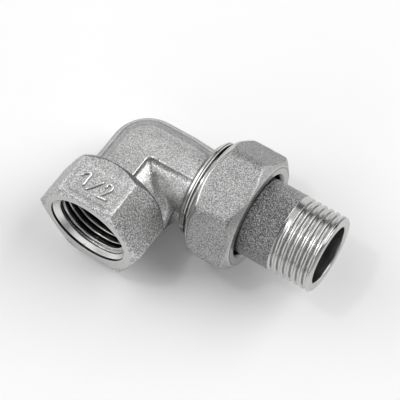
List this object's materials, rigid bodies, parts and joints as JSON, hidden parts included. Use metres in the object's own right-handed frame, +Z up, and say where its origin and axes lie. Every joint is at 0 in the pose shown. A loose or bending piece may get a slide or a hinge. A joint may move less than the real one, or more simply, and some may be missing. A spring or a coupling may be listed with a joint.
{
  "type": "elbow union",
  "caption": "Right-angle elbow union: a forged elbow with a hexagonal threaded socket, a loose union nut, a swivelling tail piece with a pipe thread, and a flat seal between them.",
  "frame": {"origin": "centre of the outer end of the socket's thread, on the socket's axis", "axes": "+Z up from the table that the part rests on; +X along the union axis towards the tail's threaded end, which rises 11.5 degrees above +X; the socket opens towards -Y, and rises 14.4 degrees above it"},
  "size_m": [0.0719, 0.0462, 0.0319],
  "materials": {
    "plated_forging": "satin",
    "plated_nut": "grained satin",
    "plated_tail": "grained satin",
    "seal": "matte"
  },
  "bodies": {
    "elbow": {"elbow_body": "plated_forging"},
    "seal": {"seal_ring": "seal"},
    "nut": {"union_nut": "plated_nut"},
    "tail": {"tail_piece": "plated_tail"}
  },
  "joints": [
    {"name": "union_slide", "type": "slide", "parent": "elbow", "child": "seal", "axis": [0.9799, 0, 0.1994], "range_m": [0, 0.0052]},
    {"name": "nut_spin", "type": "hinge", "parent": "seal", "child": "nut", "pos_m": [0.02799, 0.02366, -0.00064], "axis": [0.9799, 0, 0.1994], "range_deg": [0, 1030]},
    {"name": "tail_swivel", "type": "hinge", "parent": "seal", "child": "tail", "pos_m": [0.02907, 0.02366, -0.00042], "axis": [0.9799, 0, 0.1994], "continuous": true}
  ],
  "couplings": [
    {"joint": "union_slide", "follows": "nut_spin", "m_per_rad": 0.00028871}
  ]
}
